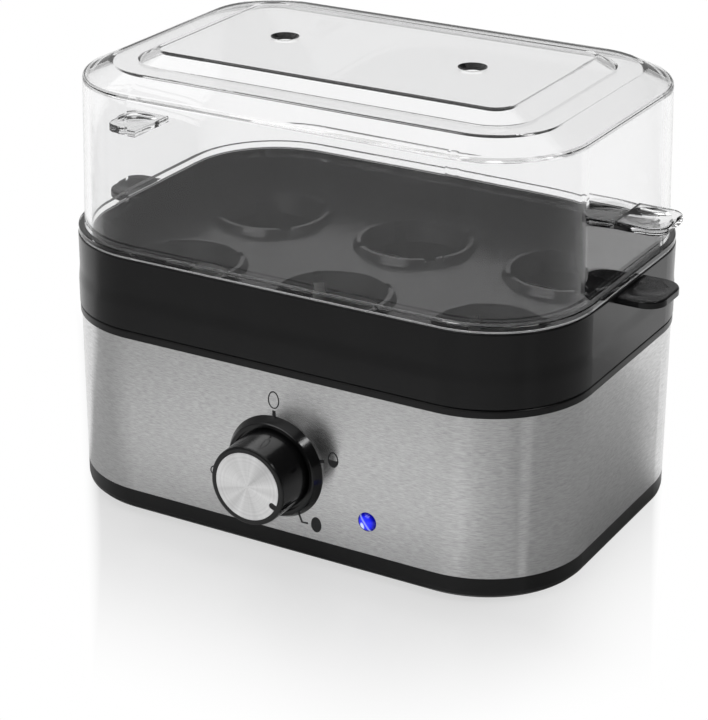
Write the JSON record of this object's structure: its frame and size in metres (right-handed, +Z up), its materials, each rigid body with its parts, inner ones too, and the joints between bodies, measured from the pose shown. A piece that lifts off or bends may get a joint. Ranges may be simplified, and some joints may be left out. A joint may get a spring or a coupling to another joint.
{
  "type": "egg cooker",
  "caption": "Counter-top egg steamer: brushed steel housing with a setting knob, heated water dish, lift-out egg tray and lift-off clear hood.",
  "frame": {"origin": "on the surface the cooker stands on, under the middle of the whole envelope, which runs from the knob's face to the cord gland and over both pairs of side tabs", "axes": "+X to the right as seen from the front, along the length; +Y to the rear, away from the knob; +Z up"},
  "size_m": [0.205, 0.142, 0.148],
  "materials": {
    "clear_hood": "clear polished moulding",
    "black_tray": "satin black moulding",
    "black_moulding": "satin black moulding",
    "black_knob": "satin black moulding",
    "brushed_band": "stainless steel brushed along its length",
    "spun_steel": "spun stainless steel",
    "plate_steel": "pressed stainless steel",
    "silicone": "grey silicone",
    "rubber": "matt black rubber",
    "zinc_steel": "zinc plated steel",
    "element_sheath": "oxidised sheath",
    "phenolic": "dark phenolic",
    "fuse_can": "plain can",
    "control_can": "plated can",
    "blue_lens": "clear blue moulding",
    "lamp": "clear resin",
    "board": "green laminate",
    "black_component": "black moulding",
    "film_component": "amber film",
    "terminal": "ivory moulding",
    "gland": "black moulding"
  },
  "bodies": {
    "housing": {"base_housing": "black_moulding", "top_collar": "black_moulding", "knob_bezel": "black_knob", "steel_band": "brushed_band", "heating_plate": "plate_steel", "plate_seal": "silicone", "foot_front_left": "rubber", "foot_front_right": "rubber", "foot_rear_left": "rubber", "foot_rear_right": "rubber", "plate_clip_front_left": "zinc_steel", "plate_clip_front_right": "zinc_steel", "plate_clip_rear_left": "zinc_steel", "plate_clip_rear_right": "zinc_steel", "clip_screws": "zinc_steel", "housing_screws": "zinc_steel", "sensor_bracket": "zinc_steel", "bracket_nuts": "zinc_steel", "fuse_clip": "zinc_steel", "control_washer": "zinc_steel", "control_nut": "zinc_steel", "heating_element": "element_sheath", "thermostat": "phenolic", "thermal_fuse": "fuse_can", "rotary_control": "control_can", "led_lens": "blue_lens", "led": "lamp", "control_board": "board", "buzzer": "black_component", "power_relay": "black_component", "dropper_capacitor": "film_component", "terminal_block": "terminal", "cord_gland": "gland"},
    "tray": {"egg_tray": "black_tray"},
    "hood": {"lid": "clear_hood"},
    "setting_knob": {"knob": "black_knob", "knob_cap": "spun_steel", "knob_clip": "zinc_steel", "control_shaft": "zinc_steel"}
  },
  "joints": [
    {"name": "tray_lift", "type": "slide", "parent": "housing", "child": "tray", "axis": [0, 0, 1], "range_m": [0, 0.06]},
    {"name": "lid_lift", "type": "slide", "parent": "tray", "child": "hood", "axis": [0, 0, 1], "range_m": [0, 0.08]},
    {"name": "knob_turn", "type": "hinge", "parent": "housing", "child": "setting_knob", "pos_m": [-0.0005, -0.0545, 0.0307], "axis": [0, -1, 0], "range_deg": [-32, 221]}
  ]
}
